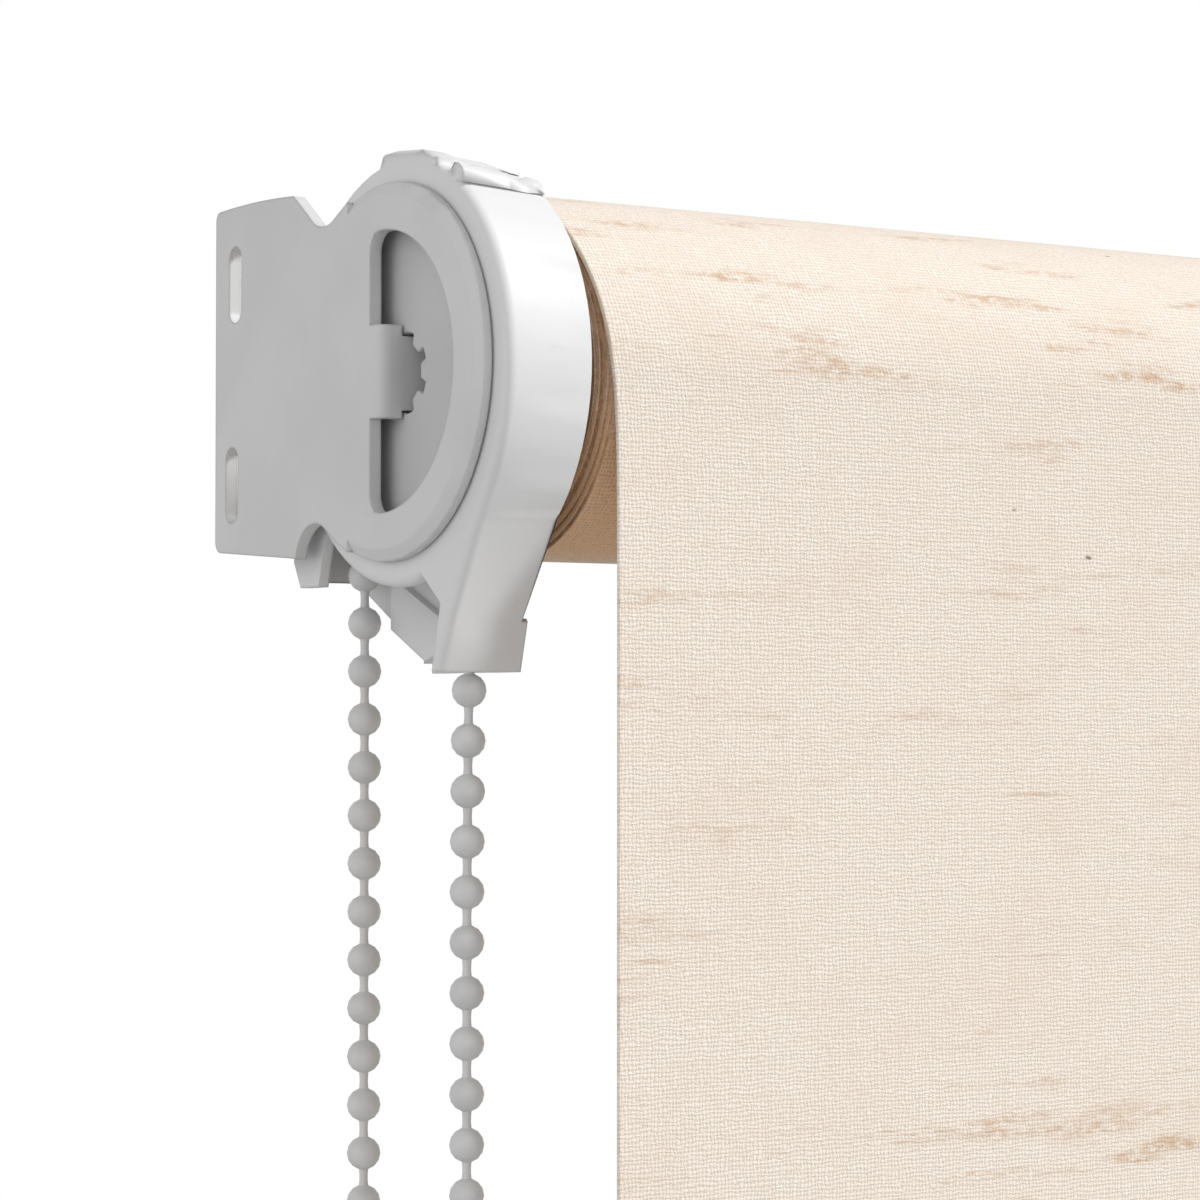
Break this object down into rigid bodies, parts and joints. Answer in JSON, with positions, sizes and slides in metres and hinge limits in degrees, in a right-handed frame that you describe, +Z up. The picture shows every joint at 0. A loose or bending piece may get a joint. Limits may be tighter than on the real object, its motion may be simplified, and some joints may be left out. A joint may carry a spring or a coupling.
{
  "type": "roller blind",
  "caption": "Chain-operated roller blind: clutch bracket with chain guard, tube, wound and hanging fabric, bottom rail, sprung idle end and bead chain loop.",
  "frame": {"origin": "middle of the two fixing slots on the clutch bracket's outer face, level with the roller's axis", "axes": "+X along the roller from the clutch bracket to the idle bracket, +Y towards the wall, +Z up"},
  "size_m": [0.6, 0.0711, 0.839],
  "materials": {
    "bracket_plastic": "light grey-white injection moulded plastic, fine satin texture",
    "guard_plastic": "white injection moulded plastic, soft sheen",
    "acetal": "natural acetal, satin",
    "spring_steel": "bright drawn wire and turned steel",
    "aluminium": "extruded aluminium, satin anodised",
    "blind_cloth": "beige slubbed linen-look weave, matt",
    "chain_plastic": "light grey moulded beads on a twisted cord"
  },
  "bodies": {
    "brackets": {"clutch_bracket": "bracket_plastic", "guard_cover": "guard_plastic", "guard_back": "guard_plastic", "clutch_core": "acetal", "hub_retaining_ring": "spring_steel", "idle_bracket": "bracket_plastic", "hanging_fabric": "blind_cloth", "chain_on_wheel": "chain_plastic", "chain_wall_upper": "chain_plastic", "chain_lower_loop": "chain_plastic", "chain_room_upper": "chain_plastic", "chain_connector": "chain_plastic", "chain_stop_ball": "chain_plastic"},
    "roller": {"chain_wheel": "acetal", "wrap_spring_near": "spring_steel", "wrap_spring_far": "spring_steel", "drive_hub": "acetal", "roller_tube": "aluminium", "fabric_spline": "acetal", "wound_fabric": "blind_cloth", "idle_plug": "acetal", "pin_spring": "spring_steel"},
    "pin": {"idle_pin": "spring_steel"},
    "hem": {"bottom_rail": "aluminium", "rail_rod": "acetal", "rail_end_cap_chain_side": "guard_plastic", "rail_end_cap_idle_side": "guard_plastic"}
  },
  "joints": [
    {"name": "roller_spin", "type": "hinge", "parent": "brackets", "child": "roller", "pos_m": [0, -0.038, 0], "axis": [-1, 0, 0], "range_deg": [0, 1800]},
    {"name": "hem_lift", "type": "slide", "parent": "brackets", "child": "hem", "axis": [0, 0, 1], "range_m": [0, 0.7116], "deforming": ["hanging_fabric"]},
    {"name": "idle_pin_press", "type": "slide", "parent": "roller", "child": "pin", "axis": [-1, 0, 0], "range_m": [0, 0.008], "deforming": ["pin_spring"]}
  ],
  "couplings": [
    {"joint": "hem_lift", "follows": "roller_spin", "m_per_rad": 0.02265}
  ]
}
